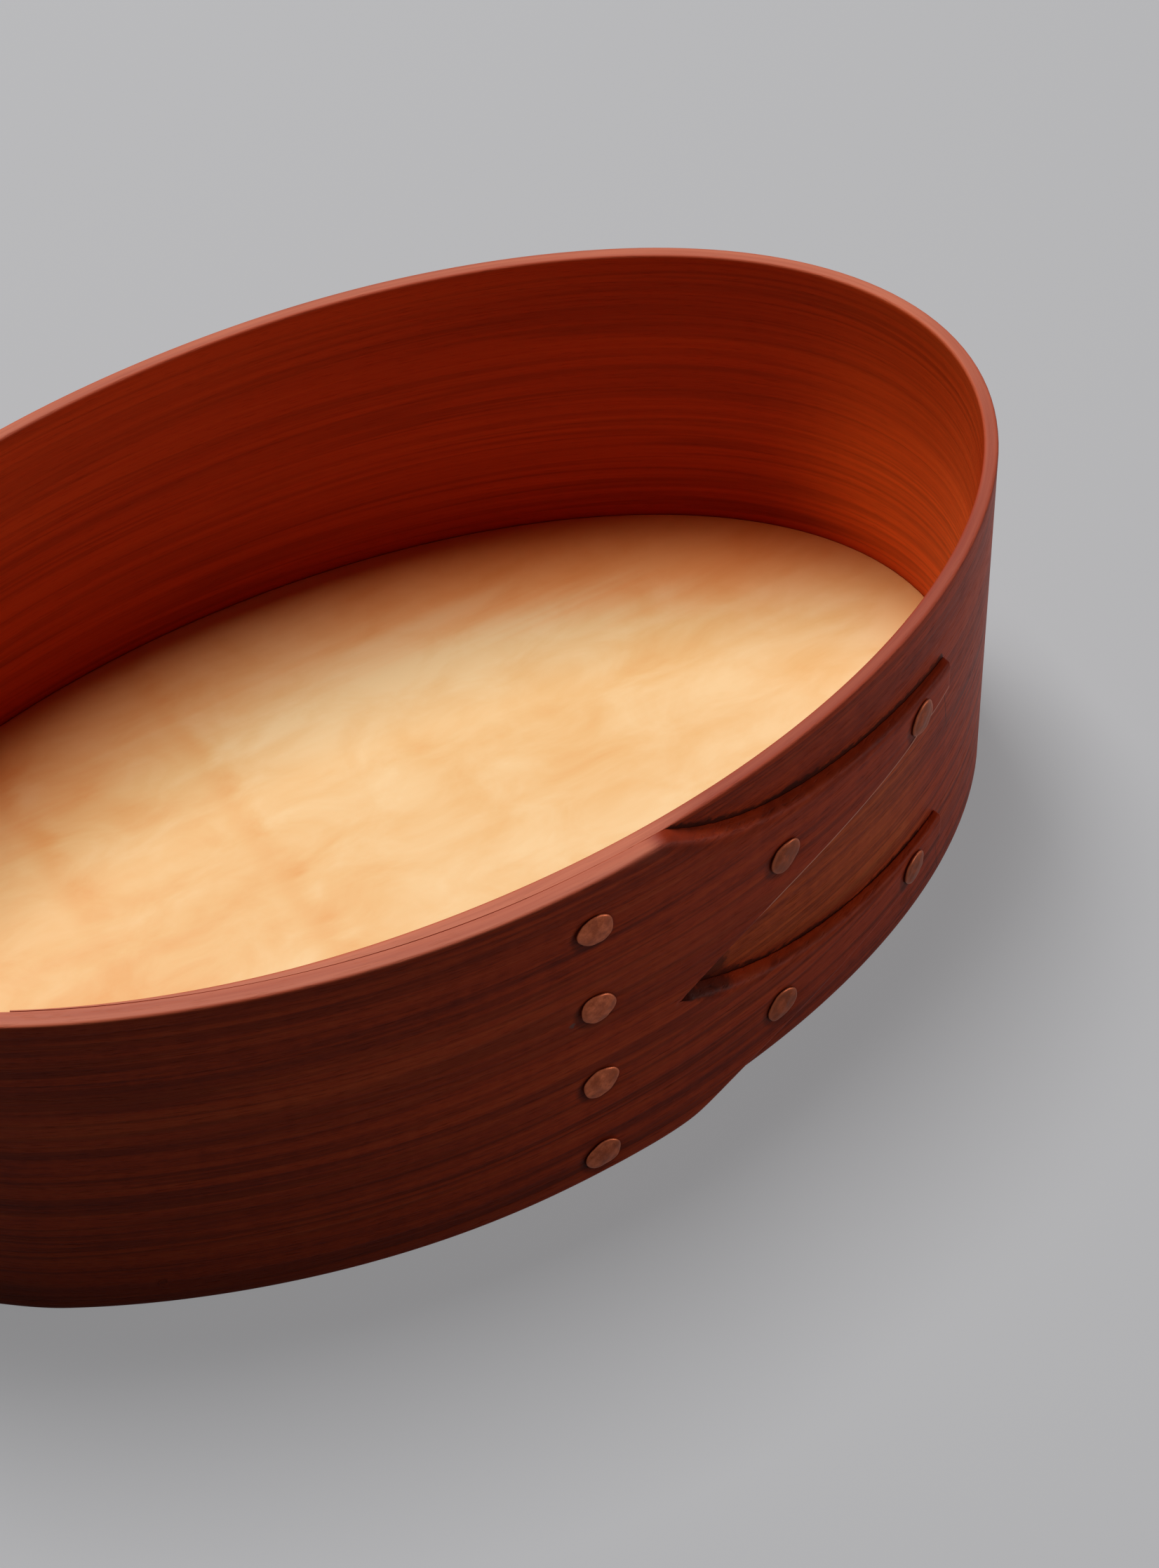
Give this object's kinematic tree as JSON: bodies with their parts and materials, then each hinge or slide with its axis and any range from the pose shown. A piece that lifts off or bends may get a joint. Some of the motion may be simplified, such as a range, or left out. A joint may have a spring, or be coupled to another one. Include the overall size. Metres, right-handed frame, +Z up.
{
  "type": "oval bentwood box",
  "caption": "Open oval bentwood box: a thin band lapped over itself in tapering swallowtail fingers, held by copper tacks, round a flush bottom board; holds small things.",
  "frame": {"origin": "middle of the underside, where the board and the band's lower edge are flush", "axes": "+X along the long axis of the oval, towards the finger tips; the lapped front faces -Y; +Z up, out of the open top"},
  "size_m": [0.1532, 0.0919, 0.048],
  "materials": {
    "cherry_band": "oiled cherry, satin",
    "maple_board": "oiled pale maple, satin",
    "copper_tack": "antique copper, dull",
    "wood_peg": "trimmed flush, end grain"
  },
  "bodies": {
    "root": {"side_band": "cherry_band", "bottom_board": "maple_board", "column_tack_1": "copper_tack", "column_tack_2": "copper_tack", "column_tack_3": "copper_tack", "board_tack": "copper_tack", "upper_finger_middle_tack": "copper_tack", "upper_finger_tip_tack": "copper_tack", "lower_finger_middle_tack": "copper_tack", "lower_finger_tip_tack": "copper_tack", "board_peg_1": "wood_peg", "board_peg_2": "wood_peg", "board_peg_3": "wood_peg", "board_peg_4": "wood_peg", "board_peg_5": "wood_peg", "board_peg_6": "wood_peg", "board_peg_7": "wood_peg"}
  },
  "joints": []
}
